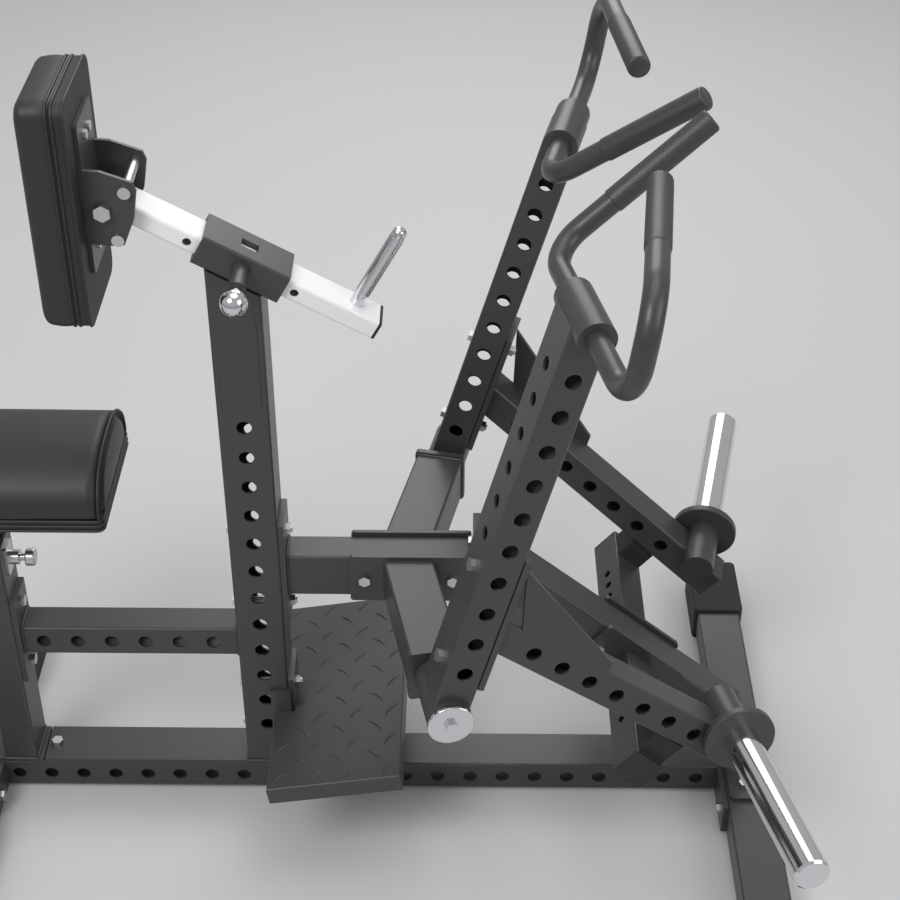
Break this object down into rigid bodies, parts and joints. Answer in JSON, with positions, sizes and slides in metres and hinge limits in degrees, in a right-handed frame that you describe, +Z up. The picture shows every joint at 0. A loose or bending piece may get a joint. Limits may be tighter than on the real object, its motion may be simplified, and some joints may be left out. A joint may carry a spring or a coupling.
{
  "type": "plate-loaded lever row machine",
  "caption": "Plate-loaded chest-supported lever row: seat, sliding chest pad, foot plate, twin splayed levers with turning handles and chrome weight horns on a floor frame.",
  "frame": {"origin": "bottom centre of the machine's box, on the floor", "axes": "+Z up; +X the way the user faces, from the seat to the front foot; +Y to the user's left"},
  "size_m": [1.3574, 0.986, 1.177],
  "materials": {
    "frame_black": "satin charcoal-black powder coat",
    "handle_black": "satin black powder coat",
    "slide_silver": "satin silver-white coat",
    "chrome": "polished chrome plate",
    "zinc_steel": "zinc plate",
    "shoe_rubber": "moulded black rubber",
    "black_plastic": "matt black plastic",
    "pad_board": "plywood board under the vinyl",
    "pad_vinyl": "black grained vinyl"
  },
  "bodies": {
    "frame": {"spine": "frame_black", "spine_flanges": "frame_black", "front_foot": "frame_black", "rear_foot": "frame_black", "foot_shoes": "shoe_rubber", "base_plate": "frame_black", "seat_post": "frame_black", "mid_rail": "frame_black", "main_post": "frame_black", "beam": "frame_black", "yoke_arm_left": "frame_black", "yoke_arm_right": "frame_black", "pivot_shafts": "zinc_steel", "pivot_discs": "chrome", "strut": "frame_black", "strut_foot": "frame_black", "stop_bar_left": "frame_black", "stop_bar_right": "frame_black", "stop_bar_caps": "black_plastic", "stop_pads": "shoe_rubber", "foot_plate": "frame_black", "foot_plate_bracket": "frame_black", "slide_head": "frame_black", "liners": "black_plastic", "pin_barrel": "zinc_steel", "pin_spring": "zinc_steel", "latch_body": "zinc_steel", "frame_bolts": "zinc_steel"},
    "chest_pin": {"pin_plunger": "chrome", "pin_knob": "chrome"},
    "chest_slide": {"slide_tube": "slide_silver", "slide_cap": "black_plastic", "peg_handle": "chrome", "pad_pivot_bolt": "zinc_steel"},
    "chest_pad": {"pad_bracket": "frame_black", "pad_stops": "zinc_steel", "pad_bolts": "zinc_steel", "chest_board": "pad_board", "chest_cushion": "pad_vinyl"},
    "seat": {"seat_tube": "frame_black", "seat_bolts": "zinc_steel", "seat_board": "pad_board", "seat_cushion": "pad_vinyl"},
    "seat_latch": {"latch_pin": "zinc_steel"},
    "lever_left": {"lever_upright_left": "frame_black", "lever_bar_left": "frame_black", "horn_collar_left": "frame_black", "horn_left": "chrome", "pivot_bearings_left": "zinc_steel", "lever_bolts_left": "zinc_steel"},
    "grip_left": {"handle_left": "handle_black", "grips_left": "chrome"},
    "lever_right": {"lever_upright_right": "frame_black", "lever_bar_right": "frame_black", "horn_collar_right": "frame_black", "horn_right": "chrome", "pivot_bearings_right": "zinc_steel", "lever_bolts_right": "zinc_steel"},
    "grip_right": {"handle_right": "handle_black", "grips_right": "chrome"}
  },
  "joints": [
    {"name": "lever_left_swing", "type": "hinge", "parent": "frame", "child": "lever_left", "pos_m": [0.18014, 0.30679, 0.425], "axis": [-0.213, -0.977, 0], "range_deg": [0, 50]},
    {"name": "handle_left_turn", "type": "hinge", "parent": "lever_left", "child": "grip_left", "pos_m": [0.33431, 0.24247, 0.99582], "axis": [-0.213, -0.977, 0], "range_deg": [-60, 60]},
    {"name": "lever_right_swing", "type": "hinge", "parent": "frame", "child": "lever_right", "pos_m": [0.18014, -0.30679, 0.425], "axis": [0.213, -0.977, 0], "range_deg": [0, 50]},
    {"name": "handle_right_turn", "type": "hinge", "parent": "lever_right", "child": "grip_right", "pos_m": [0.33431, -0.24247, 0.99582], "axis": [0.213, -0.977, 0], "range_deg": [-60, 60]},
    {"name": "chest_slide_along", "type": "slide", "parent": "frame", "child": "chest_slide", "axis": [0.8721, 0, -0.4894], "range_m": [-0.075, 0.075]},
    {"name": "chest_pad_tilt", "type": "hinge", "parent": "chest_slide", "child": "chest_pad", "pos_m": [-0.24695, 0, 1.0224], "axis": [0, 1, 0], "range_deg": [-11, 28]},
    {"name": "chest_pin_pull", "type": "slide", "parent": "frame", "child": "chest_pin", "axis": [0, -1, 0], "range_m": [-0.009, 0.01]},
    {"name": "seat_height", "type": "slide", "parent": "frame", "child": "seat", "axis": [0, 0, 1], "range_m": [-0.07, 0.07]},
    {"name": "seat_latch_pull", "type": "slide", "parent": "frame", "child": "seat_latch", "axis": [1, 0, 0], "range_m": [-0.008, 0.012]}
  ]
}
